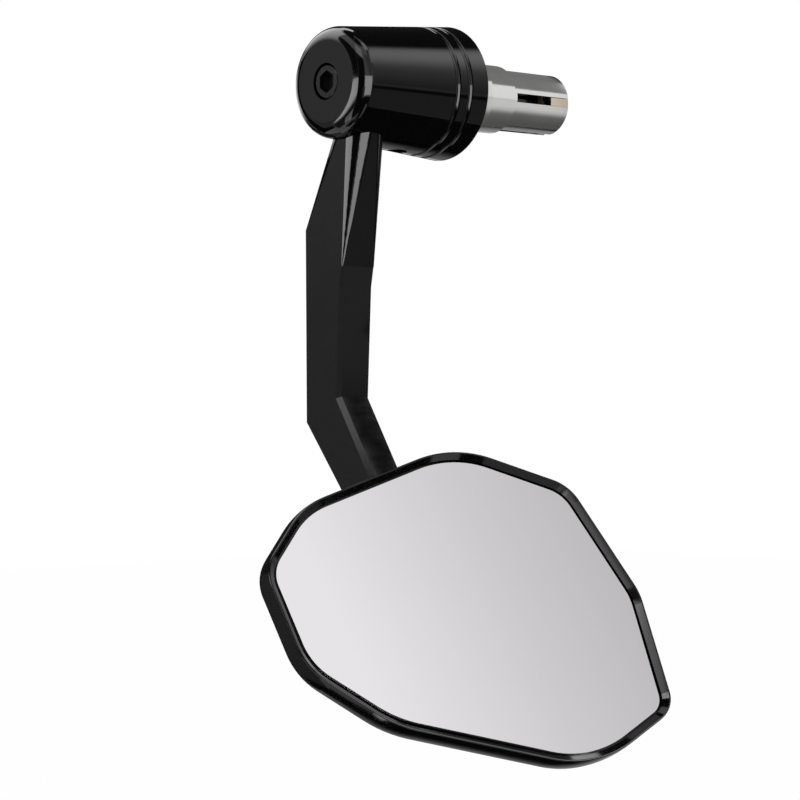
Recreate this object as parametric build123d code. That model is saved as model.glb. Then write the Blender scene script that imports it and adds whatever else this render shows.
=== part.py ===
from build123d import *
import os
from math import atan, cos, degrees, radians, sin, tan

# Bar end mirror for a motorcycle handlebar, left side, hanging under the bar.
# X runs along the handlebar, positive towards the middle of the machine. Y points forwards, Z up.
# The origin is on the bar axis, in the plane where the end of the handlebar tube butts.

# Fits, gaps measured on the radius or on one side
running_gap = 0.05
screw_gap = 0.05
seat_gap = 0.03
slot_gap = 0.1
end_gap = 0.2

# Housing, a taper turned about the bar axis
housing_length = 39.4
housing_inner_radius = 17.0
housing_taper_angle = 5.07
housing_edge_radius = 3.9
housing_rim_chamfer = 0.3
groove_round = 1.05
groove_depth = 0.45
groove_pitch = 3.8
groove_land = 6.0
groove_count = 2

# Spigot sleeve, the shoulder part butts on the tube and the plug part goes into it
shoulder_radius = 10.0
shoulder_length = 8.7
plug_radius = 8.7
plug_length = 9.5
stub_radius = 7.0
stub_wall = 4.5
sleeve_bore_radius = 3.3
register_radius = 5.0
register_length = 1.5
sleeve_edge = 0.4

# Expander collet and the cone that spreads it
collet_radius = 7.85
collet_length = 20.2
collet_base = 1.0
collet_slot_width = 2.3
collet_slot_count = 4
collet_core_radius = 4.3
collet_edge = 0.3
cone_length = 9.0
cone_large_radius = 6.2
cone_small_radius = 5.2
cone_rib_length = 6.4
cone_rib_inset = 0.4
cone_rib_count = 2

# Clamp bolt
bolt_radius = 3.0
bolt_end_inset = 3.5
bolt_head_radius = 4.3
bolt_head_height = 4.0
bolt_head_inset = 0.3
bolt_head_edge = 0.4
bolt_recess_radius = 4.55
bolt_hex = 5.0
bolt_hex_depth = 2.5
bolt_washer_radius = 4.4
bolt_washer_thickness = 0.8

# Washer between the housing and the sleeve
swivel_washer_radius = 9.6
swivel_washer_thickness = 0.6
swivel_washer_stand = 0.1

# Locking screw under the housing, its point runs in a groove of the stub
lock_screw_radius = 2.5
lock_screw_length = 6.0
lock_screw_inset = 5.0
lock_point_radius = 1.5
lock_point_length = 1.2
lock_groove_width = 3.4
lock_groove_depth = 1.0
lock_screw_hex = 2.5
lock_screw_hex_depth = 2.4

# Arm, a bar of even width whose outline bends in the YZ plane
# each bend is given by its point on the rear face and on the front face
arm_width = 10.6
arm_top_z = -10.0
arm_top_rear_y = -7.65
arm_top_front_y = 3.8
arm_top_round = 5.0
first_bend_rear_y = -1.0
first_bend_rear_z = -45.0
first_bend_front_y = 12.9
first_bend_front_z = -35.6
second_bend_rear_y = 0.4
second_bend_rear_z = -77.0
second_bend_front_y = 12.5
second_bend_front_z = -83.5
arm_lower_rear_angle = 32.5
arm_lower_front_angle = 38.4
arm_edge_round = 0.3
arm_chamfer = 1.1
arm_chamfer_run = 5.5
foot_thickness = 9.0
tenon_width = 7.0
tenon_depth = 9.5
tenon_height = 5.5
tenon_round = 1.5
tenon_shift = 0.8
tenon_wall = 2.0

# Ball joint behind the head
ball_centre_y = -33.2
ball_centre_z = -129.9
ball_radius = 6.5
neck_radius = 2.75
stud_rise_angle = 12.0
flange_radius = 4.0
flange_thickness = 1.0
flange_reach = 10.6
pilot_radius = 3.2
pilot_length = 2.0
pivot_thread_radius = 2.0
pivot_screw_length = 14.0
pivot_head_radius = 3.5
pivot_head_height = 4.0
pivot_head_inset = 0.4
pivot_head_gap = 0.3
pivot_hex = 3.0
pivot_hex_depth = 2.0
lock_washer_radius = 3.4
lock_washer_thickness = 0.9
lock_washer_split = 0.6

# Seats round the ball
rear_seat_wall = 1.95
rear_seat_opening_angle = 60.0
rear_seat_edge_angle = 88.0
front_cup_radius = 8.5
front_cup_rear = 2.6
front_cup_front = 8.3
spring_thickness = 0.4
spring_bore_radius = 4.0
spring_height = 0.7

# Mirror head, turned from the stud's direction as it stands at rest
head_pan_angle = -29.0
head_rise_angle = 15.5
glass_corners = [
    (47.0, -24.1, 4.0),
    (28.9, -36.3, 23.0),
    (-17.2, -25.3, 30.0),
    (-36.4, -12.3, 16.0),
    (-44.3, 9.5, 7.2),
    (-35.4, 22.9, 15.0),
    (0.2, 36.7, 24.0),
    (26.6, 27.1, 9.5),
    (41.3, 1.9, 13.0),
]
glass_reach = 12.9
glass_thickness = 2.0
glass_dome_radius = 1400.0
glass_dome_rise = 0.6
glass_gap = 0.55
pad_thickness = 0.8
pad_inset = 1.0
rim_width = 2.1
rim_height = 1.95
rim_step = 0.2
rim_bevel = 1.15
rim_round = 0.3
wall_crown = 0.45
wall_crown_depth = 7.0
wall_draw_in = 0.17
shell_depth = 12.85
shell_back_bevel = 2.0
shell_back_inset = 3.0
shell_floor = 2.0
glass_ledge = 3.5
boss_radius = 13.5
boss_rear = 1.0
socket_floor = 9.1
cap_thickness = 3.5
cap_edge = 0.5
cap_screw_circle_radius = 11.0
cap_screw_count = 3
cap_screw_radius = 1.0
cap_screw_length = 6.0
cap_screw_head_radius = 2.0
cap_screw_hex = 1.3
cap_screw_hex_depth = 0.8


def turned(points):
    """A solid turned about the bar axis from (x, radius) points."""
    return revolve(make_face(Polyline(*points, close=True)), Axis.X)


def turned_upright(points):
    """A solid turned about the local Z axis from (radius, z) points."""
    return revolve(Plane.XZ * make_face(Polyline(*points, close=True)), Axis.Z)


def rod(x_from, x_to, radius):
    """A round bar on the bar axis."""
    return turned([(x_from, 0), (x_to, 0), (x_to, radius), (x_from, radius)])


def upright_rod(radius, length):
    """A round bar standing on the local XY plane."""
    return Cylinder(radius, length, align=(Align.CENTER, Align.CENTER, Align.MIN))


def hexagon(across_flats):
    """A hexagon sketch given by its key size."""
    return RegularPolygon(across_flats / 2, 6, major_radius=False)


# Stations along the bar axis, from the outer face inwards
housing_inner_x = -shoulder_length
housing_outer_x = housing_inner_x - housing_length
taper_slope = tan(radians(housing_taper_angle))


def housing_radius_at(x):
    """Radius of the housing's taper at a place along the bar."""
    return housing_inner_radius - taper_slope * (housing_inner_x - x)


def housing_outline(gap):
    """The housing's outside as a plain solid, grown by a gap on the radius."""
    outer_radius = housing_radius_at(housing_outer_x) + gap
    body = turned([
        (housing_outer_x, 0),
        (housing_inner_x, 0),
        (housing_inner_x, housing_inner_radius + gap),
        (housing_outer_x, outer_radius),
    ])
    edge = body.edges().filter_by(GeomType.CIRCLE).sort_by(Axis.X)[0]
    return fillet(edge, housing_edge_radius)


# Clamp bolt with its washer, pulled from the outer face
bolt_head_x = housing_outer_x + bolt_head_inset
bolt_seat_x = bolt_head_x + bolt_head_height
washer_seat_x = bolt_seat_x + bolt_washer_thickness
collet_end_x = plug_length + collet_length
bolt_end_x = collet_end_x - bolt_end_inset


def make_clamp_bolt():
    head = chamfer(
        rod(bolt_head_x, bolt_seat_x, bolt_head_radius).edges().sort_by(Axis.X)[0], bolt_head_edge
    )
    shank = chamfer(rod(bolt_seat_x, bolt_end_x, bolt_radius).edges().sort_by(Axis.X)[-1], bolt_head_edge)
    key = extrude(Plane((bolt_head_x, 0, 0), z_dir=(1, 0, 0)) * hexagon(bolt_hex), bolt_hex_depth)
    return head + shank - key


def make_bolt_washer():
    return rod(bolt_seat_x, washer_seat_x, bolt_washer_radius) - rod(
        bolt_seat_x, washer_seat_x, bolt_radius + screw_gap
    )


# Sleeve that carries the housing, and the expander behind it
# the arm's block stands between the bolt's washer and the end of the sleeve's stub
tenon_x = washer_seat_x + tenon_wall + tenon_width / 2
stub_end_x = tenon_x + tenon_width / 2 + stub_wall
lock_screw_x = stub_end_x + lock_screw_inset
sleeve_face_x = housing_inner_x + swivel_washer_stand
cone_end_x = collet_end_x
cone_start_x = cone_end_x - cone_length
cone_slope = (cone_large_radius - cone_small_radius) / cone_length


def make_spigot_sleeve():
    lock_half = lock_groove_width / 2
    sleeve = turned([
        (stub_end_x, sleeve_bore_radius),
        (plug_length + register_length, sleeve_bore_radius),
        (plug_length + register_length, register_radius),
        (plug_length, register_radius),
        (plug_length, plug_radius - sleeve_edge),
        (plug_length - sleeve_edge, plug_radius),
        (0, plug_radius),
        (0, shoulder_radius - sleeve_edge),
        (-sleeve_edge, shoulder_radius),
        (sleeve_face_x, shoulder_radius),
        (sleeve_face_x, stub_radius),
        (lock_screw_x + lock_half, stub_radius),
        (lock_screw_x + lock_half, stub_radius - lock_groove_depth),
        (lock_screw_x - lock_half, stub_radius - lock_groove_depth),
        (lock_screw_x - lock_half, stub_radius),
        (stub_end_x + sleeve_edge, stub_radius),
        (stub_end_x, stub_radius - sleeve_edge),
    ])
    return sleeve


def cone_bore_radius_at(x):
    """Radius of the collet's tapered bore, clear of the cone by the running gap."""
    return cone_large_radius - cone_slope * (collet_end_x - x) + running_gap


def make_expander_collet():
    taper_start_x = cone_start_x - end_gap
    collet = turned([
        (plug_length, register_radius + screw_gap),
        (plug_length + register_length + end_gap, register_radius + screw_gap),
        (plug_length + register_length + end_gap, collet_core_radius),
        (taper_start_x, collet_core_radius),
        (taper_start_x, cone_bore_radius_at(taper_start_x)),
        (collet_end_x, cone_bore_radius_at(collet_end_x)),
        (collet_end_x, collet_radius - collet_edge),
        (collet_end_x - collet_edge, collet_radius),
        (plug_length, collet_radius),
    ])
    slot_start_x = plug_length + collet_base
    slot = Pos((slot_start_x + collet_end_x + end_gap) / 2, 0, collet_radius) * Box(
        collet_end_x + end_gap - slot_start_x, collet_slot_width, 2 * collet_radius
    )
    for index in range(collet_slot_count):
        collet -= Rot(360 / collet_slot_count * index, 0, 0) * slot
    return collet


def make_expander_cone():
    cone = turned([
        (cone_start_x, 0),
        (cone_end_x, 0),
        (cone_end_x, cone_large_radius),
        (cone_start_x, cone_small_radius),
    ])
    rib_height = collet_radius - cone_rib_inset
    rib = Pos(cone_end_x - cone_rib_length / 2, rib_height / 2, 0) * Box(
        cone_rib_length, rib_height, collet_slot_width - 2 * slot_gap
    )
    for index in range(cone_rib_count):
        cone += Rot(360 / cone_rib_count * index, 0, 0) * rib
    return cone - rod(cone_start_x, cone_end_x, bolt_radius + screw_gap)


def make_swivel_washer():
    washer_inner_x = housing_inner_x + swivel_washer_stand - running_gap
    washer_outer_x = washer_inner_x - swivel_washer_thickness
    return rod(washer_outer_x, washer_inner_x, swivel_washer_radius) - rod(
        washer_outer_x, washer_inner_x, stub_radius + running_gap
    )


# Locking screw, standing upright under the stub
lock_tip_z = -(stub_radius - lock_groove_depth + running_gap)
lock_shank_z = lock_tip_z - lock_point_length


def make_locking_screw():
    point = Cylinder(lock_point_radius, lock_point_length, align=(Align.CENTER, Align.CENTER, Align.MAX))
    shank = Cylinder(
        lock_screw_radius, lock_screw_length - lock_point_length, align=(Align.CENTER, Align.CENTER, Align.MAX)
    )
    key = extrude(hexagon(lock_screw_hex), lock_screw_hex_depth)
    screw = Pos(0, 0, lock_tip_z) * point + Pos(0, 0, lock_shank_z) * shank
    screw -= Pos(0, 0, lock_tip_z - lock_screw_length) * key
    return Pos(lock_screw_x, 0, 0) * screw


# Arm
arm_middle_x = tenon_x - tenon_shift
arm_top_rear = Vector(0, arm_top_rear_y, arm_top_z)
arm_top_front = Vector(0, arm_top_front_y, arm_top_z)
arm_first_rear = Vector(0, first_bend_rear_y, first_bend_rear_z)
arm_first_front = Vector(0, first_bend_front_y, first_bend_front_z)
arm_second_rear = Vector(0, second_bend_rear_y, second_bend_rear_z)
arm_second_front = Vector(0, second_bend_front_y, second_bend_front_z)


def tenon(gap):
    """The block on top of the arm that goes up into the housing, grown by a gap on every side."""
    block = extrude(
        RectangleRounded(tenon_width + 2 * gap, tenon_depth + 2 * gap, tenon_round + gap),
        tenon_height + gap + housing_inner_radius,
    )
    return Pos(tenon_x, 0, -housing_inner_radius) * block


stud_direction = Vector(0, -cos(radians(stud_rise_angle)), sin(radians(stud_rise_angle)))
foot_direction = Vector(0, -sin(radians(stud_rise_angle)), -cos(radians(stud_rise_angle)))
ball_centre = Vector(arm_middle_x, ball_centre_y, ball_centre_z)
ball_in_profile = Vector(0, ball_centre_y, ball_centre_z)
foot_rear = ball_in_profile - stud_direction * flange_reach
foot_front = foot_rear - stud_direction * foot_thickness
foot_round = arm_width / 2

# Stations of the ball's screw along the stud, measured from the ball's centre
stud_place = Plane(ball_centre, x_dir=(1, 0, 0), z_dir=stud_direction).location
foot_front_z = -flange_reach - foot_thickness
pivot_head_z = foot_front_z + pivot_head_inset
pivot_washer_z = pivot_head_z + pivot_head_height
pivot_seat_z = pivot_washer_z + lock_washer_thickness
pivot_tip_z = pivot_washer_z + pivot_screw_length


def meeting_point(point, direction, other_point, other_direction):
    """Where two lines of the arm's profile meet in the YZ plane."""
    offset_between = other_point - point
    cross = direction.Y * other_direction.Z - direction.Z * other_direction.Y
    along = (offset_between.Y * other_direction.Z - offset_between.Z * other_direction.Y) / cross
    return point + direction * along


def leaning(angle):
    """A downward direction that leans towards the rider."""
    return Vector(0, -sin(radians(angle)), -cos(radians(angle)))


arm_third_rear = meeting_point(arm_second_rear, leaning(arm_lower_rear_angle), foot_rear, foot_direction)
arm_third_front = meeting_point(arm_second_front, leaning(arm_lower_front_angle), foot_front, foot_direction)


def arm_section(rear, front, round_radius, chamfer_length):
    """A cross-section of the arm on the plane through a rear and a front point."""
    across = front - rear
    normal = Vector(1, 0, 0).cross(across).normalized()
    middle = (rear + front) * 0.5 + Vector(arm_middle_x, 0, 0)
    section = Rectangle(arm_width, across.length)
    by_depth = section.vertices().sort_by(Axis.Y)
    section = fillet(by_depth[2:], round_radius)
    rear_corners = section.vertices().sort_by(Axis.Y)[:2]
    if chamfer_length > 0:
        section = chamfer(rear_corners, chamfer_length)
    else:
        section = fillet(rear_corners, round_radius)
    return Plane(middle, x_dir=(1, 0, 0), z_dir=normal) * section


def pivot_holes():
    """The stepped hole through the foot for the ball's pilot, its screw and the screw's head."""
    pilot_z = -flange_reach - pilot_length - end_gap
    holes = Pos(0, 0, pilot_z) * upright_rod(pilot_radius + screw_gap, pilot_length + end_gap)
    holes += Pos(0, 0, foot_front_z) * upright_rod(pivot_thread_radius + screw_gap, foot_thickness)
    holes += Pos(0, 0, foot_front_z) * upright_rod(
        pivot_head_radius + pivot_head_gap, pivot_seat_z - foot_front_z
    )
    return stud_place * holes


def make_mirror_arm():
    upper = loft([
        arm_section(arm_top_rear, arm_top_front, arm_top_round, 0),
        arm_section(arm_first_rear, arm_first_front, arm_edge_round, 0),
    ], ruled=True)
    rear_run = (arm_second_rear - arm_first_rear).normalized() * arm_chamfer_run
    front_run = (arm_second_front - arm_first_front).normalized() * arm_chamfer_run
    bends = [
        (arm_first_rear, arm_first_front, arm_edge_round),
        (arm_first_rear + rear_run, arm_first_front + front_run, arm_chamfer),
        (arm_second_rear, arm_second_front, arm_chamfer),
        (arm_third_rear, arm_third_front, arm_chamfer),
        (
            foot_rear + foot_direction * foot_round,
            foot_front + foot_direction * foot_round,
            arm_chamfer,
        ),
    ]
    sections = [arm_section(rear, front, arm_edge_round, length) for rear, front, length in bends]
    arm = upper
    for start, end in zip(sections[:-1], sections[1:-1]):
        arm += loft([start, end], ruled=True)
    foot = loft(sections[-2:], ruled=True)
    long_reach = (arm_third_front - foot_front).length + foot_round
    end_shape = Circle(foot_round) + Pos(0, long_reach / 2) * Rectangle(arm_width, long_reach)
    foot &= stud_place * Pos(0, 0, foot_front_z) * extrude(end_shape, foot_thickness)
    arm += foot
    arm -= housing_outline(seat_gap)
    arm += tenon(0)
    arm -= rod(housing_outer_x, housing_inner_x, bolt_radius + screw_gap)
    return arm - pivot_holes()


# Ball and its screw
def make_pivot_ball():
    ball = Sphere(ball_radius)
    ball += Pos(0, 0, -flange_reach) * upright_rod(neck_radius, flange_reach)
    ball += Pos(0, 0, -flange_reach) * upright_rod(flange_radius, flange_thickness)
    ball += Pos(0, 0, -flange_reach - pilot_length) * upright_rod(pilot_radius, pilot_length)
    ball -= Pos(0, 0, -flange_reach - pilot_length) * upright_rod(
        pivot_thread_radius + screw_gap, pivot_tip_z + end_gap + flange_reach + pilot_length
    )
    return stud_place * ball


def make_pivot_screw():
    head = chamfer(
        upright_rod(pivot_head_radius, pivot_head_height).edges().sort_by(Axis.Z)[0], bolt_head_edge
    )
    screw = Pos(0, 0, pivot_head_z) * head
    screw += Pos(0, 0, pivot_washer_z) * upright_rod(pivot_thread_radius, pivot_screw_length)
    screw -= Pos(0, 0, pivot_head_z) * extrude(hexagon(pivot_hex), pivot_hex_depth)
    return stud_place * screw


def make_pivot_lock_washer():
    washer = upright_rod(lock_washer_radius, lock_washer_thickness) - upright_rod(
        pivot_thread_radius + screw_gap, lock_washer_thickness
    )
    washer -= Pos(lock_washer_radius, 0, lock_washer_thickness / 2) * Box(
        2 * lock_washer_radius, lock_washer_split, 2 * lock_washer_thickness
    )
    return stud_place * (Pos(0, 0, pivot_washer_z) * washer)


# Seats, spring and cap, in the head's own frame with the ball's centre at zero
pan = radians(head_pan_angle)
rise = radians(head_rise_angle)
head_normal = Vector(sin(pan) * cos(rise), -cos(pan) * cos(rise), sin(rise))
head_place = Plane(ball_centre, x_dir=(cos(pan), sin(pan), 0), z_dir=head_normal).location
seat_inner_radius = ball_radius + running_gap
seat_outer_radius = seat_inner_radius + rear_seat_wall
socket_radius = front_cup_radius + running_gap
cap_inner_radius = seat_outer_radius + running_gap


def below(angle, radius):
    """A profile point at an angle from the downward local Z axis."""
    return (radius * sin(radians(angle)), -radius * cos(radians(angle)))


def make_rear_seat_ring():
    reach = 2 * seat_outer_radius
    wedge = make_face(
        Polyline((0, 0), below(rear_seat_opening_angle, reach), below(rear_seat_edge_angle, reach), close=True)
    )
    profile = (Circle(seat_outer_radius) - Circle(seat_inner_radius)) & wedge
    return head_place * revolve(Plane.XZ * profile, Axis.Z)


def make_front_seat_cup():
    height = front_cup_front - front_cup_rear
    cup = Pos(0, 0, front_cup_rear) * upright_rod(front_cup_radius, height)
    return head_place * (cup - Sphere(seat_inner_radius))


def make_preload_spring():
    low = front_cup_front + running_gap
    high = low + spring_height - spring_thickness
    spring = turned_upright([
        (spring_bore_radius, high),
        (front_cup_radius - running_gap, low),
        (front_cup_radius - running_gap, low + spring_thickness),
        (spring_bore_radius, high + spring_thickness),
    ])
    return head_place * spring


cap_rear_z = -boss_rear - cap_thickness
cap_places = PolarLocations(cap_screw_circle_radius, cap_screw_count, 90)
cap_head_depth = cap_screw_head_radius - cap_screw_radius


def cap_screw(gap):
    """A countersunk screw with its head flush on the cap, grown by a gap on the radius."""
    return turned_upright([
        (0, 0),
        (cap_screw_head_radius + gap, 0),
        (cap_screw_radius + gap, cap_head_depth),
        (cap_screw_radius + gap, cap_screw_length),
        (0, cap_screw_length),
    ])


def make_socket_cap():
    cap = upright_rod(boss_radius, cap_thickness)
    cap = chamfer(cap.edges().sort_by(Axis.Z)[0], cap_edge)
    cap = Pos(0, 0, cap_rear_z) * cap - Sphere(cap_inner_radius)
    lip_radius, lip_z = below(rear_seat_opening_angle, cap_inner_radius)
    cap -= turned_upright([
        (0, 0),
        (lip_radius, lip_z),
        (lip_radius + (lip_z - cap_rear_z), cap_rear_z),
        (0, cap_rear_z),
    ])
    for place in cap_places:
        cap -= Pos(0, 0, cap_rear_z) * place * cap_screw(screw_gap)
    return head_place * cap


def make_socket_cap_screws():
    screw = cap_screw(0) - extrude(hexagon(cap_screw_hex), cap_screw_hex_depth)
    return Compound(children=[head_place * (Pos(0, 0, cap_rear_z) * place * screw) for place in cap_places])


# Mirror head
glass_front_z = glass_reach
glass_back_z = glass_front_z - glass_thickness
pad_back_z = glass_back_z - pad_thickness
rim_front_z = glass_front_z + rim_height
shell_back_z = rim_front_z - shell_depth
shell_wall_z = shell_back_z + shell_back_bevel


def head_outline(grow):
    """The outline of the glass with rounded corners, grown by a distance all round."""
    outline = make_face(Polyline(*[(x, y) for x, y, _ in glass_corners], close=True))
    for x, y, corner_radius in glass_corners:
        corner = outline.vertices().sort_by_distance((x, y))[0]
        outline = fillet(corner, corner_radius)
    if grow == 0:
        return outline
    return offset(outline, grow)


def make_mirror_shell():
    # the wall is crowned: widest some way behind the rim and drawn in again towards the back
    widest = rim_width + wall_crown
    wall_back = widest - wall_draw_in
    wall = loft([
        Pos(0, 0, shell_wall_z) * head_outline(wall_back),
        Pos(0, 0, rim_front_z - wall_crown_depth) * head_outline(widest),
        Pos(0, 0, rim_front_z) * head_outline(rim_width),
    ])
    wall = fillet(wall.faces().sort_by(Axis.Z)[-1].edges(), rim_round)
    back_taper = degrees(atan(shell_back_inset / shell_back_bevel))
    back_outline = head_outline(wall_back - shell_back_inset)
    shell = wall + Pos(0, 0, shell_back_z) * extrude(back_outline, shell_back_bevel, taper=-back_taper)
    shell -= Pos(0, 0, pad_back_z) * extrude(head_outline(glass_gap), shell_depth)
    shell -= Pos(0, 0, shell_back_z + shell_floor) * extrude(head_outline(-glass_ledge), shell_depth)
    shell += Pos(0, 0, -boss_rear) * upright_rod(boss_radius, pad_back_z + boss_rear)
    bevel_height = rim_height - rim_step
    bevel_taper = degrees(atan(rim_bevel / bevel_height))
    shell -= Pos(0, 0, glass_front_z + rim_step) * extrude(
        head_outline(glass_gap), bevel_height, taper=-bevel_taper
    )
    shell -= Pos(0, 0, -boss_rear) * upright_rod(socket_radius, socket_floor + boss_rear)
    for place in cap_places:
        hole = Pos(0, 0, cap_rear_z) * place * upright_rod(cap_screw_radius + screw_gap, cap_screw_length + end_gap)
        shell -= hole
    return head_place * shell


def dome(depth):
    """The ball that the convex glass is bent over, less a depth below its front."""
    centre_z = glass_front_z + glass_dome_rise - glass_dome_radius
    return Pos(0, 0, centre_z) * Rot(90, 0, 0) * Sphere(glass_dome_radius - depth)


def make_glass_pad():
    pad = Pos(0, 0, pad_back_z) * extrude(head_outline(-pad_inset), shell_depth)
    return head_place * (pad & dome(glass_thickness + seat_gap))


def make_mirror_glass():
    glass = Pos(0, 0, pad_back_z) * extrude(head_outline(0), shell_depth)
    return head_place * ((glass & dome(0)) - dome(glass_thickness))


# Housing, cut for everything that goes into it
def make_bar_end_housing():
    housing = housing_outline(0)
    rim = housing.edges().filter_by(GeomType.CIRCLE).sort_by(Axis.X)[-1]
    housing = chamfer(rim, housing_rim_chamfer)
    for index in range(groove_count):
        groove_x = housing_inner_x - groove_land - groove_pitch * index
        groove_centre_radius = housing_radius_at(groove_x) - groove_depth + groove_round
        housing -= revolve(Pos(groove_x, groove_centre_radius) * Circle(groove_round), Axis.X)
    housing -= rod(housing_outer_x, housing_inner_x, bolt_radius + end_gap)
    housing -= rod(housing_outer_x, washer_seat_x, bolt_recess_radius)
    housing -= rod(stub_end_x - end_gap, housing_inner_x, stub_radius + running_gap)
    washer_pocket_x = housing_inner_x + swivel_washer_stand - 2 * running_gap - swivel_washer_thickness
    housing -= rod(washer_pocket_x, housing_inner_x, swivel_washer_radius + end_gap)
    housing -= tenon(seat_gap)
    lock_hole = Cylinder(
        lock_screw_radius + screw_gap, 2 * housing_inner_radius, align=(Align.CENTER, Align.CENTER, Align.MAX)
    )
    return housing - Pos(lock_screw_x, 0, 0) * lock_hole


pieces = {
    "bar_end_housing": make_bar_end_housing(),
    "clamp_bolt": make_clamp_bolt(),
    "bolt_washer": make_bolt_washer(),
    "spigot_sleeve": make_spigot_sleeve(),
    "swivel_washer": make_swivel_washer(),
    "expander_collet": make_expander_collet(),
    "expander_cone": make_expander_cone(),
    "locking_screw": make_locking_screw(),
    "mirror_arm": make_mirror_arm(),
    "pivot_ball": make_pivot_ball(),
    "pivot_screw": make_pivot_screw(),
    "pivot_lock_washer": make_pivot_lock_washer(),
    "rear_seat_ring": make_rear_seat_ring(),
    "front_seat_cup": make_front_seat_cup(),
    "preload_spring": make_preload_spring(),
    "socket_cap": make_socket_cap(),
    "socket_cap_screws": make_socket_cap_screws(),
    "mirror_shell": make_mirror_shell(),
    "glass_pad": make_glass_pad(),
    "mirror_glass": make_mirror_glass(),
}

os.makedirs("parts", exist_ok=True)
for name, shape in pieces.items():
    export_step(shape, f"parts/{name}.step")
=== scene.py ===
import bpy, bmesh
from math import cos, radians, sin
from mathutils import Matrix, Vector

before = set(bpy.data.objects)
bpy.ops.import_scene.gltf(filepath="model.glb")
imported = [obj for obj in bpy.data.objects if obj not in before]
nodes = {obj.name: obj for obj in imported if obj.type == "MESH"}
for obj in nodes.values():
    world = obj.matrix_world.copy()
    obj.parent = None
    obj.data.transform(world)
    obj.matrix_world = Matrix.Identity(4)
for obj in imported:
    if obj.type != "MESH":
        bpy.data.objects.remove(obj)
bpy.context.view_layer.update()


# The housing at the end of the bar: turned from aluminium round bar with two
# grooves, drilled for its bolt and locking screw, then anodised gloss black.
class Shade:
    """A socket of a finish. Arithmetic on it adds Math nodes; add() makes any other node."""

    def __init__(self, tree, socket=None):
        self.tree = tree
        self.socket = socket

    def add(self, kind, settings={}, inputs={}, output=0):
        node = self.tree.nodes.new("ShaderNode" + kind)
        for name, value in settings.items():
            if name == "stops":
                ramp = node.color_ramp.elements
                while len(ramp) < len(value):
                    ramp.new(0.5)
                for element, (place, grey) in zip(ramp, value):
                    element.position = place
                    element.color = (grey, grey, grey, 1)
            else:
                setattr(node, name, value)
        for name, value in inputs.items():
            if isinstance(value, Shade):
                self.tree.links.new(value.socket, node.inputs[name])
            else:
                node.inputs[name].default_value = value
        return Shade(self.tree, node.outputs[output] if node.outputs else None)

    def math(self, operation, *values):
        return self.add("Math", {"operation": operation}, dict(enumerate(values)))

    def __add__(self, other):
        return self.math("ADD", self, other)

    def __rsub__(self, other):
        return self.math("SUBTRACT", other, self)

    def __mul__(self, other):
        return self.math("MULTIPLY", self, other)

    __radd__ = __add__
    __rmul__ = __mul__


def start_finish(name, **constants):
    """A new material with its shader's fixed values set; gives the material and an empty Shade."""
    material = bpy.data.materials.new(name)
    material.use_nodes = True
    shader = material.node_tree.nodes["Principled BSDF"]
    for key, value in constants.items():
        shader.inputs[key.replace("_", " ")].default_value = value
    return material, Shade(material.node_tree)


def set_on(material, **links):
    """Links values that change over the surface to the material's shader."""
    tree = material.node_tree
    for key, value in links.items():
        tree.links.new(value.socket, tree.nodes["Principled BSDF"].inputs[key.replace("_", " ")])


def place_on(surface):
    """Object coordinates in metres."""
    return surface.add("TexCoord", output="Object")


def noise(surface, scale, detail=2.0, stretch=(1, 1, 1)):
    """Noise from 0 to 1 with so many features to the metre, drawn out where stretch is small."""
    place = surface.add("Mapping", {}, {"Vector": place_on(surface), "Scale": stretch})
    return surface.add("TexNoise", {}, {"Vector": place, "Scale": scale, "Detail": detail}, "Fac")


def bump(surface, height, depth):
    """A surface raised by height times a depth in metres."""
    return surface.add("Bump", {}, {"Height": height, "Strength": 1.0, "Distance": depth}, "Normal")


def blend(share, first, second):
    """A colour that goes from the first to the second as share goes from 0 to 1."""
    colours = {}
    for key, colour in (("A", first), ("B", second)):
        colours[key] = colour if isinstance(colour, Shade) else (*colour, 1)
    return share.add("Mix", {"data_type": "RGBA"}, {"Factor": share, **colours}, "Result")


def black_anodised(name, mirror, rough, lay):
    """Gloss black on aluminium: wiped patches of haze, fine grain, and tool marks that follow lay.

    mirror is the least roughness, rough what haze and tool marks add to it.
    """
    material, surface = start_finish(name, IOR=1.5, Metallic=0.0)
    haze = noise(surface, scale=45.0, detail=4.0)
    tooling = noise(surface, scale=900.0, detail=3.0, stretch=lay)
    grain = noise(surface, scale=2600.0)
    set_on(
        material,
        Base_Color=blend(haze, (0.0006, 0.0006, 0.0007), (0.0016, 0.0015, 0.0016)),
        Roughness=mirror + rough * haze * tooling,
        Normal=bump(surface, tooling + 0.5 * grain, depth=6e-7),
    )
    return material


def dress(material, *names):
    """Gives a finish to solids of the frame."""
    for name in names:
        nodes[name].data.materials.clear()
        nodes[name].data.materials.append(material)


turned_lay = (1.0, 0.05, 0.05)
dress(black_anodised("turned_black", mirror=0.05, rough=0.12, lay=turned_lay), "bar_end_housing")


# The plug that goes into the handlebar: a turned steel sleeve with a split
# collet of the same steel pressed on its nose, both polished and left bright.
def bright_steel(name, mirror, rough, lay, depth):
    """Bare steel: lines left by the tool, faint handling marks and a little tone between them."""
    material, surface = start_finish(name, Metallic=1.0)
    rings = noise(surface, scale=1400.0, detail=3.0, stretch=lay)
    marks = noise(surface, scale=120.0, detail=5.0)
    set_on(
        material,
        Base_Color=blend(marks, (0.60, 0.595, 0.585), (0.74, 0.735, 0.725)),
        Roughness=mirror + rough * rings * marks,
        Normal=bump(surface, rings, depth),
    )
    return material


polished_lay = (1.0, 0.03, 0.03)
turned_steel = bright_steel("turned_steel", mirror=0.10, rough=0.12, lay=polished_lay, depth=1.2e-7)
dress(turned_steel, "spigot_sleeve", "expander_collet")


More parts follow.
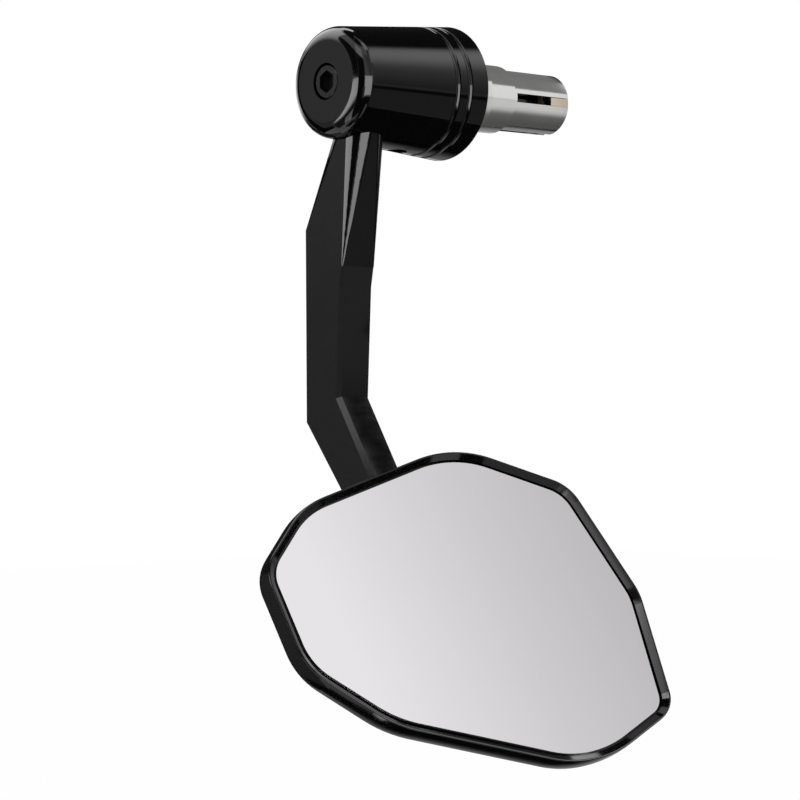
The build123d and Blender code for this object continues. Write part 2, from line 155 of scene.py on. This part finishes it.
# The expander cone: turned from pale brass with ribs that run in the collet's
# slots, drawn into the collet by the bolt. Its taper, deep in the slots, is painted dark as shade.
cone_painted_shade_radius = 0.0064
cone_painted_shade = (0.012, 0.010, 0.008)
turned_brass, surface = start_finish("turned_brass", Metallic=1.0)
cone_rings = noise(surface, scale=1600.0, detail=3.0, stretch=polished_lay)
tarnish = noise(surface, scale=160.0, detail=5.0)
across_bar = surface.add(
    "VectorMath", {"operation": "MULTIPLY"}, {0: place_on(surface), 1: (0, 1, 1)})
from_bar = surface.add("VectorMath", {"operation": "LENGTH"}, {0: across_bar}, "Value")
brass = blend(tarnish, (0.55, 0.47, 0.375), (0.66, 0.575, 0.475))
# inside this radius, where the taper lies deep in the collet's slots, the brass is painted dark as
# shade
clear_of_painted_shade = surface.math("GREATER_THAN", from_bar, cone_painted_shade_radius)
set_on(
    turned_brass,
    Base_Color=blend(clear_of_painted_shade, cone_painted_shade, brass),
    Roughness=0.18 + 0.25 * cone_rings * tarnish,
    Normal=bump(surface, cone_rings, depth=5e-7),
)
dress(turned_brass, "expander_cone")


# The bolt through the housing, its washer, and the washer that the housing
# swivels on: a black oxide socket bolt, zinc plated steel, moulded plastic.
def black_oxide(name, scale):
    """Black oxide on steel: a dark oiled skin that is a little brown and rubbed in patches."""
    material, surface = start_finish(name, Metallic=0.0, IOR=1.45)
    rubbed = noise(surface, scale, detail=5.0)
    grain = noise(surface, scale=3800.0, detail=3.0)
    set_on(
        material,
        Base_Color=blend(rubbed, (0.0010, 0.0010, 0.0012), (0.0040, 0.0036, 0.0032)),
        Roughness=0.14 + 0.14 * rubbed,
        Normal=bump(surface, grain, depth=3e-6),
    )
    return material


def zinc_plate(name, scale):
    """Bright zinc on steel: a cool grey with a soft spangle and slightly clouded gloss."""
    material, surface = start_finish(name, Metallic=1.0)
    spangle = noise(surface, scale, detail=4.0)
    grain = noise(surface, scale=4200.0, detail=2.0)
    set_on(
        material,
        Base_Color=blend(spangle, (0.52, 0.54, 0.56), (0.70, 0.71, 0.72)),
        Roughness=0.16 + 0.2 * spangle,
        Normal=bump(surface, grain, depth=2e-6),
    )
    return material


def moulded(name, dark, pale, rough):
    """Moulded plastic: an even colour with a fine spark-eroded grain from its mould."""
    material, surface = start_finish(name, IOR=1.49)
    cloud = noise(surface, scale=90.0, detail=3.0)
    grain = noise(surface, scale=3000.0, detail=3.0)
    set_on(
        material,
        Base_Color=blend(cloud, dark, pale),
        Roughness=rough + 0.15 * grain,
        Normal=bump(surface, grain, depth=8e-6),
    )
    return material


swivel_plastic = moulded(
    "swivel_plastic", dark=(0.020, 0.020, 0.021), pale=(0.032, 0.032, 0.033), rough=0.38)
dress(black_oxide("bolt_oxide", scale=220.0), "clamp_bolt")
dress(zinc_plate("washer_zinc", scale=380.0), "bolt_washer")
dress(swivel_plastic, "swivel_washer")


# The set screw under the housing, whose point runs in a groove of the sleeve's
# stub and holds the housing on it: black oxide steel with a hexagon socket.
dress(black_oxide("set_screw_oxide", scale=420.0), "locking_screw")


# The arm: milled from aluminium bar with a dog-leg outline, corners rounded at
# the top and chamfered below, its tenon in the housing, anodised gloss black.
milled_lay = (0.2, 0.2, 1.0)
dress(black_anodised("milled_black", mirror=0.07, rough=0.14, lay=milled_lay), "mirror_arm")


# The ball at the arm's foot, its screw and the split washer: a ground steel
# ball, a black oxide socket screw and a zinc plated washer.
ground_lay = (0.6, 0.6, 0.6)
ground_steel = bright_steel("ground_steel", mirror=0.07, rough=0.16, lay=ground_lay, depth=4e-7)
dress(ground_steel, "pivot_ball")
dress(black_oxide("pivot_screw_oxide", scale=260.0), "pivot_screw")
dress(zinc_plate("lock_washer_zinc", scale=420.0), "pivot_lock_washer")


# The two seats round the ball and the coned disc spring that presses them on
# it: moulded acetal seats, a stamped spring steel disc.
stamped_lay = (0.4, 0.4, 0.4)
seat_plastic = moulded(
    "seat_plastic", dark=(0.56, 0.55, 0.51), pale=(0.66, 0.65, 0.61), rough=0.34)
spring_steel = bright_steel("spring_steel", mirror=0.2, rough=0.25, lay=stamped_lay, depth=1e-6)
dress(seat_plastic, "rear_seat_ring", "front_seat_cup")
dress(spring_steel, "preload_spring")


# The mirror's shell and the cap that closes its socket: die cast aluminium,
# machined round the rim and the boss, anodised gloss black; three small screws.
cast_lay = (0.7, 0.7, 0.7)
cast_black = black_anodised("cast_black", mirror=0.06, rough=0.12, lay=cast_lay)
dress(cast_black, "mirror_shell", "socket_cap")
dress(black_oxide("cap_screw_oxide", scale=500.0), "socket_cap_screws")


# The mirror: slightly domed glass, cut to the shell's outline and silvered
# behind, stuck into the shell with a foam adhesive pad.
foam, surface = start_finish("foam_adhesive", IOR=1.4)
cells = surface.add(
    "TexVoronoi", {"feature": "F1"}, {"Vector": place_on(surface), "Scale": 1800.0}, "Distance")
set_on(
    foam,
    Base_Color=blend(cells, (0.020, 0.020, 0.021), (0.050, 0.050, 0.052)),
    Roughness=0.85 - 0.2 * cells,
    Normal=bump(surface, cells, depth=1.5e-4),
)
dress(foam, "glass_pad")

silvered, surface = start_finish("silvered_glass", Metallic=1.0)
wiped = noise(surface, scale=40.0, detail=4.0, stretch=(1.0, 0.3, 1.0))
specks = noise(surface, scale=1500.0, detail=2.0)
set_on(
    silvered,
    Base_Color=blend(wiped, (0.946, 0.922, 0.944), (0.960, 0.936, 0.958)),
    Roughness=0.015 + 0.02 * wiped * specks,
)
dress(silvered, "mirror_glass")


# The studio: a pale floor well below the hanging mirror, a white backdrop all
# round, one soft lamp overhead, and panels and flags that the gloss reflects.
up = (0, 0, 1)
studio_middle = Vector((-0.020, 0.0, -0.080))
floor_level = -1.05
floor_half_width = 12.0
floor_glow_share = 0.8


def seen_share(surface):
    """1 for camera rays, off gloss and through glass, 0 for those that light the object."""
    seen = surface.add("LightPath", output="Is Camera Ray")
    path = seen.socket.node.outputs
    for ray in ("Is Glossy Ray", "Is Transmission Ray"):
        seen = seen + Shade(surface.tree, path[ray])
    return surface.math("MINIMUM", seen, 1.0)


def put_up(name, shape):
    """An object made of a shape."""
    data = bpy.data.meshes.new(name)
    shape.to_mesh(data)
    shape.free()
    piece = bpy.data.objects.new(name, data)
    bpy.context.collection.objects.link(piece)
    return piece


def bare_finish(name):
    """A new material with no shader in it; gives the material and an empty Shade."""
    material = bpy.data.materials.new(name)
    material.use_nodes = True
    material.node_tree.nodes.clear()
    return material, Shade(material.node_tree)


floor_shape = bmesh.new()
bmesh.ops.create_grid(floor_shape, x_segments=8, y_segments=8, size=floor_half_width)
bmesh.ops.translate(floor_shape, verts=floor_shape.verts[:], vec=(0, 0, floor_level))
floor = put_up("studio_floor", floor_shape)
pale_floor, surface = bare_finish("pale_floor")
matt = surface.add("BsdfDiffuse", {}, {"Color": (0.95, 0.95, 0.95, 1)})
white = surface.add("Emission", {}, {"Color": (1, 1, 1, 1), "Strength": 1.0})
glow_share = seen_share(surface) * floor_glow_share
mixed = surface.add("MixShader", {}, {0: glow_share, 1: matt, 2: white})
surface.add("OutputMaterial", {}, {"Surface": mixed})
floor.data.materials.append(pale_floor)

world = bpy.data.worlds.new("studio_world")
world.use_nodes = True
world.node_tree.nodes.clear()
surface = Shade(world.node_tree)
white = surface.add("Background", {}, {"Color": (1, 1, 1, 1), "Strength": 1.0})
surface.add("OutputWorld", {}, {"Surface": white})
bpy.context.scene.world = world

lamp_data = bpy.data.lights.new("overhead_lamp", "AREA")
lamp_data.shape = "DISK"
lamp_data.size = 1.2
lamp_data.energy = 10.0
lamp = bpy.data.objects.new("overhead_lamp", lamp_data)
lamp.location = (-0.5, -0.5, 1.1)
lamp.rotation_euler = Vector((0.5, 0.5, -1.2)).to_track_quat("-Z", "Y").to_euler()
lamp.visible_glossy = False
bpy.context.collection.objects.link(lamp)


def hang(name, shape, glow, fade=None):
    """Makes a panel of a shape and lights it evenly, or with greys that change along a direction.

    fade is that direction, two places along it in metres from the middle, and the greys between.
    """
    piece = put_up(name, shape)
    material, surface = bare_finish(name)
    grey = (1, 1, 1, 1)
    if fade:
        along, start, end, stops = fade
        place = surface.add(
            "VectorMath", {"operation": "SUBTRACT"}, {0: place_on(surface), 1: studio_middle})
        reached = surface.add(
            "VectorMath", {"operation": "DOT_PRODUCT"}, {0: place, 1: along}, "Value")
        share = surface.add("MapRange", {}, {"Value": reached, "From Min": start, "From Max": end})
        grey = surface.add("ValToRGB", {"stops": stops}, {"Fac": share}, "Color")
    light = surface.add("Emission", {}, {"Color": grey, "Strength": glow})
    surface.add("OutputMaterial", {}, {"Surface": light})
    piece.data.materials.append(material)
    piece.visible_camera = False
    piece.visible_diffuse = False
    piece.visible_shadow = False
    piece.visible_transmission = False
    piece.visible_volume_scatter = False


def curved_panel(turn, rise, reach):
    """Part of a ball round the middle: turn in degrees from +X, rise in degrees from level."""
    shape = bmesh.new()
    first, last = (radians(angle) for angle in turn)
    low, high = (radians(angle) for angle in rise)
    outward = Vector((cos(first) * cos(low), sin(first) * cos(low), sin(low)))
    bmesh.ops.create_vert(shape, co=studio_middle + reach * outward)
    bmesh.ops.spin(shape, geom=shape.verts[:], cent=studio_middle,
                   axis=(sin(first), -cos(first), 0), angle=high - low, steps=8)
    bmesh.ops.spin(shape, geom=shape.verts[:] + shape.edges[:], cent=studio_middle,
                   axis=up, angle=last - first, steps=16)
    return shape


def flat_panel(centre, facing, width, height):
    """A flat card round a centre, upright across the direction that it faces."""
    shape = bmesh.new()
    facing = Vector(facing).normalized()
    across = Vector(up).cross(facing).normalized()
    turned = Matrix((across, facing.cross(across), facing)).transposed().to_4x4()
    bmesh.ops.create_grid(shape, x_segments=4, y_segments=4, size=0.5)
    bmesh.ops.scale(shape, verts=shape.verts[:], vec=(width, height, 1))
    bmesh.ops.transform(shape, verts=shape.verts[:], matrix=Matrix.Translation(centre) @ turned)
    return shape


def sleeve_panel(x_from, x_to, turn, radius):
    """Part of a sleeve round the bar axis: turn in degrees up from the rear."""
    shape = bmesh.new()
    first, last = (radians(angle) for angle in turn)
    for x in (x_from, x_to):
        bmesh.ops.create_vert(shape, co=(x, -radius * cos(first), radius * sin(first)))
    bmesh.ops.contextual_create(shape, geom=shape.verts[:])
    bmesh.ops.spin(shape, geom=shape.verts[:] + shape.edges[:], cent=(0, 0, 0), axis=(-1, 0, 0),
                   angle=last - first, steps=24)
    return shape


# how far the curved panels stand from the middle, where a nearer one hides what is behind it;
# all that hang low stay above the floor
wall_reach, overhead_reach, light_reach, rim_reach = 3.40, 1.60, 1.50, 1.45
left_reach, camera_reach, corner_reach = 1.30, 1.20, 1.15
ground_reach, low_reach, under_reach, gap_reach = 0.95, 0.94, 0.92, 0.90
black, deep_black, pitch_black = 0.02, 0.01, 0.004

# the side wall right of the camera, brightest below its top, with a grey foot on dark ground
hang("wall_right", flat_panel(
    centre=(1.802, -0.236, 1.075), facing=(-0.736, 0.677, 0), width=3.68, height=2.25), 1.80, (
    up, 0.0, 2.3,
    [(0.027, 0.12), (0.292, 0.28), (0.384, 0.40), (0.461, 0.64), (0.56, 0.92), (0.67, 1.0),
     (0.80, 0.85), (0.885, 0.45), (0.955, 0.08)]))
hang("wall_right_foot", curved_panel((285, 340), (-3.7, 1.2), wall_reach), 0.32)
hang("ground_far_right", curved_panel((285, 385), (-9.2, -3.7), wall_reach), black)
hang("ground_far_ahead", curved_panel((340, 385), (-3.7, 1.2), wall_reach), black)
# the ground right and ahead, dark close by and paler further off
hang("ground_right", curved_panel((285, 338), (-36.5, -5.4), ground_reach), 0.20)
hang("ground_dark", curved_panel((285, 388), (-84, -36.5), under_reach), deep_black)
hang("ground_dark_ahead", curved_panel((338, 385), (-36.5, -1.2), ground_reach), black)
hang("ground_ahead", curved_panel((25, 67), (-40, -8), ground_reach), 0.32, (
    up, -0.60, -0.41, [(0.0, 0.0), (1.0, 1.0)]))
hang("ground_ahead_under", curved_panel((25, 70), (-62, -39), under_reach), pitch_black)
hang("ground_ahead_left", curved_panel((67, 98), (-43, -4), under_reach), 0.08, (
    (-1, 0, 0), -0.36, 0.08, [(0.0, 0.25), (1.0, 1.0)]))
hang("ground_left_gap", curved_panel((67, 76), (-46, -30), gap_reach), pitch_black)
hang("ground_left_under", curved_panel((76, 104), (-62, -42.5), gap_reach), 0.24)
# dark above and ahead
hang("flag_ahead_high", curved_panel((-35, 84), (14, 86), wall_reach), black)
hang("flag_ahead_low", curved_panel((22, 100), (-6, 14), wall_reach), black)
# the left side: a grey card with flags round it, the strip light with dimmer ones below it,
# and soft light above
hang("flag_left_inner", curved_panel((100, 124), (-18, 18), left_reach), deep_black)
hang("card_left", curved_panel((124, 138), (-18, 18), left_reach), 0.46, (
    up, -0.06, 0.24, [(0.0, 0.61), (0.33, 0.60), (0.52, 0.69), (0.66, 0.70), (0.85, 0.90)]))
hang("flag_left_low", curved_panel((98, 138), (-32, -18), left_reach), deep_black)
hang("strip_left", curved_panel((139, 183), (-7, 10), left_reach), 5.0)
hang("strip_left_foot", curved_panel((139, 183), (-12.5, -7), left_reach), 1.85)
hang("strip_left_gap", curved_panel((139, 183), (-26, -12.5), left_reach), 0.10)
hang("strip_left_low", curved_panel((160, 183), (-48, -26), left_reach), 1.85)
hang("strip_left_under", curved_panel((139, 160), (-48, -26), left_reach), 0.10)
hang("flag_left_high", curved_panel((139, 183), (10, 42), left_reach), black)
hang("soft_light_left", curved_panel((72, 138), (22, 64), light_reach), 3.6, (
    up, 0.56, 1.20, [(0.10, 0.52), (0.30, 0.73), (0.66, 0.93), (1.0, 1.0)]))
hang("soft_light_ahead", curved_panel((38, 72), (53, 66), light_reach), 3.5)
# behind the camera, overhead, on the ground by the camera, and the strip light right of it
hang("flag_camera", curved_panel((184, 230), (-45, 42), camera_reach), black)
hang("light_behind_camera", curved_panel((190, 230), (42, 60), camera_reach), 2.2)
hang("flag_camera_low", curved_panel((186, 230), (-55, -45), corner_reach), black)
hang("light_overhead", curved_panel((180, 194), (74.6, 78.2), light_reach), 0.5)
hang("flag_overhead", curved_panel((84, 274), (67, 88), overhead_reach), black)
hang("light_high_right", curved_panel((276, 315), (56, 74), overhead_reach), 2.2)
hang("ground_camera", curved_panel((205, 235), (-75, -55), low_reach), 0.45)
hang("ground_camera_left", curved_panel((150, 204), (-80, -61), low_reach), black)
hang("strip_right", curved_panel((231, 284), (-22, 12), light_reach), 4.7)
hang("flag_strip_right", curved_panel((230, 264), (-75, -23), low_reach), black)
hang("ground_strip_right", curved_panel((264, 288), (-70, -38), low_reach), 0.75)
hang("flag_strip_under", curved_panel((264, 288), (-38, -23), low_reach), black)
# what the mirror shows, and small cards and flags that its bevelled rim shows
hang("mirror_card", curved_panel((232, 287), (13, 50), light_reach), 1.0, (
    (0.960, -0.083, 0.268), -0.18, 0.20,
    [(0.0, 0.832), (0.55, 0.634), (0.87, 0.542), (1.0, 0.50)]))
hang("rim_card_low", curved_panel((289, 300), (24, 35), rim_reach), 0.45)
hang("rim_card_high", curved_panel((285, 295), (40, 49.5), rim_reach), 0.62)
hang("rim_flag_high", curved_panel((283, 296), (49.5, 60), rim_reach), 0.05)
hang("rim_corner_card", curved_panel((175, 185), (-51, -44), corner_reach), 2.8)
hang("rim_flag_low", curved_panel((293, 299), (-14, -3), low_reach), deep_black)
# close by: a flag and a card for the arm, a card beside the housing's left edge, and a sleeve
# of greys round the plug with a dark back
hang("arm_foot_flag", flat_panel(
    centre=(0.0088, -0.0313, -0.0443), facing=(0, 0.843, -0.537), width=0.0115, height=0.046),
    pitch_black)
hang("arm_chamfer_card", flat_panel(
    centre=(-0.205, -0.187, -0.080), facing=(0.64, 0.77, 0.04), width=0.07, height=0.08), 0.3)
hang("housing_edge_card", flat_panel(
    centre=(-0.0443, 0.0305, -0.00175), facing=(0.1, -1, 0), width=0.018, height=0.0215), 2.0, (
    up, 0.0675, 0.089, [(0.0, 0.2), (0.3, 1.0), (0.7, 1.0), (1.0, 0.1)]))
sleeve_from, sleeve_to, sleeve_radius = 0.028, 0.070, 0.045
hang("plug_sleeve_front", sleeve_panel(sleeve_from, sleeve_to, (-104, 40), sleeve_radius), 1.0, (
    up, 0.035, 0.125,
    [(0.0, 0.11), (0.04, 0.14), (0.09, 0.16), (0.125, 0.20), (0.17, 0.38), (0.21, 0.61),
     (0.29, 0.78), (0.45, 0.78), (0.465, 0.58), (0.49, 0.97)]))
hang("plug_sleeve_top", sleeve_panel(sleeve_from, sleeve_to, (40, 178), sleeve_radius), 0.21)
hang("plug_sleeve_back", sleeve_panel(0.026, 0.072, (-104, 178), 0.047), pitch_black)

camera_data = bpy.data.cameras.new("camera")
camera_data.lens = 117.0
camera_data.sensor_width = 36.0
camera = bpy.data.objects.new("camera", camera_data)
camera.location = (-0.46485, -0.48008, -0.07787)
camera.rotation_euler = (radians(90.0), 0.0, radians(-42.6))
bpy.context.collection.objects.link(camera)
bpy.context.scene.camera = camera
bpy.context.scene.view_settings.view_transform = "Standard"
